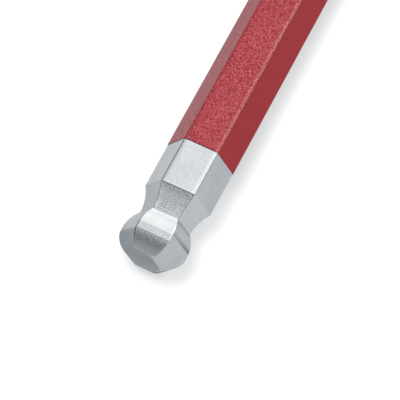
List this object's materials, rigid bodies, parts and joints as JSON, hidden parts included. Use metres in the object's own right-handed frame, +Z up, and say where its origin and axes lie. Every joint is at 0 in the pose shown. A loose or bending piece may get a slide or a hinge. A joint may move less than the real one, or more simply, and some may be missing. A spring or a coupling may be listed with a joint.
{
  "type": "ball-end hex key",
  "caption": "L-shaped hexagonal key with a ball end on its long arm, a bevelled short arm and a baked red coating between the two bare steel ends.",
  "frame": {"origin": "middle of the key's bounding box, on the plane of its lowest flat, which it lies on", "axes": "+Z up, square to the plane of the two arms; the long arm lies along Y with its ball end towards -Y; the short arm lies along X at the +Y end and points towards +X"},
  "size_m": [0.0318, 0.1716, 0.0081],
  "materials": {
    "ground_steel": "ground and satin plated, fine lengthwise grain on the flats, fine crosswise machining lines at the neck",
    "red_coating": "baked metallic red powder coat, finely sanded texture with small glints"
  },
  "bodies": {
    "root": {"hex_bar": "ground_steel", "coating": "red_coating"}
  },
  "joints": []
}
